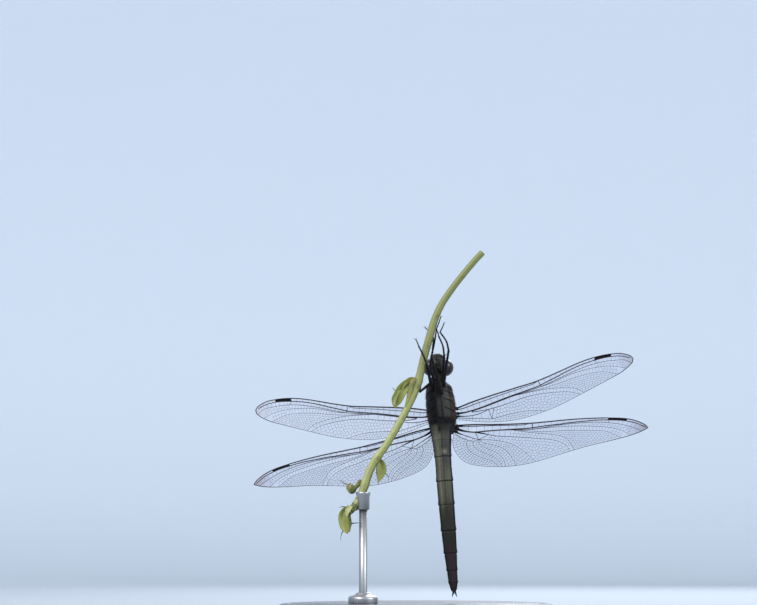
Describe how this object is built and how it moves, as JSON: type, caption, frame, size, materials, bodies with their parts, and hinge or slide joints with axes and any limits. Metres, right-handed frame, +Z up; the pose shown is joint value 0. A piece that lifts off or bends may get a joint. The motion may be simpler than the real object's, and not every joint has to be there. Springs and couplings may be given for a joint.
{
  "type": "dragonfly",
  "caption": "Life-size still model of a skimmer dragonfly hanging head-up from a drooping plant stem, clear wings spread, on a round display stand.",
  "frame": {"origin": "under the middle of the whole model, on the underside of the stand's base", "axes": "+Z up, from the insect's tail to its head; +X to the insect's left; +Y from its belly to its back"},
  "size_m": [0.0862, 0.06, 0.0819],
  "materials": {
    "head": "satin dark cuticle",
    "eye": "glossy, finely faceted",
    "face": "satin pale cuticle",
    "thorax": "fine short hairs over dark cuticle",
    "abdomen": "satin cuticle with dark joints",
    "appendage": "satin black",
    "leg": "satin black with spines",
    "wing": "clear film with dark veins",
    "stem": "soft green stem, fine ridges",
    "bud": "folded young leaves",
    "stand": "satin dark paint",
    "rod": "brushed"
  },
  "bodies": {
    "root": {"abdomen_01": "abdomen", "abdomen_02": "abdomen", "abdomen_03": "abdomen", "abdomen_04": "abdomen", "abdomen_05": "abdomen", "abdomen_06": "abdomen", "abdomen_07": "abdomen", "abdomen_08": "abdomen", "abdomen_09": "abdomen", "abdomen_10": "abdomen", "antenna_left": "leg", "antenna_right": "leg", "cercus_left": "appendage", "cercus_right": "appendage", "epiproct": "appendage", "eye_left": "eye", "eye_right": "eye", "face": "face", "head": "head", "leg_fore_left_femur": "leg", "leg_fore_left_tarsus": "leg", "leg_fore_left_tibia": "leg", "leg_fore_right_femur": "leg", "leg_fore_right_tarsus": "leg", "leg_fore_right_tibia": "leg", "leg_hind_left_femur": "leg", "leg_hind_left_tarsus": "leg", "leg_hind_left_tibia": "leg", "leg_hind_right_femur": "leg", "leg_hind_right_tarsus": "leg", "leg_hind_right_tibia": "leg", "leg_mid_left_femur": "leg", "leg_mid_left_tarsus": "leg", "leg_mid_left_tibia": "leg", "leg_mid_right_femur": "leg", "leg_mid_right_tarsus": "leg", "leg_mid_right_tibia": "leg", "mouthparts": "head", "neck": "thorax", "perch_bud_middle": "bud", "perch_bud_tip": "bud", "perch_bud_upper": "bud", "perch_leaf_bud": "bud", "perch_stem": "stem", "stand_base": "stand", "stand_cup": "rod", "stand_foot": "rod", "stand_rod": "rod", "thorax": "thorax", "wing_fore_left": "wing", "wing_fore_right": "wing", "wing_hind_left": "wing", "wing_hind_right": "wing"}
  },
  "joints": []
}
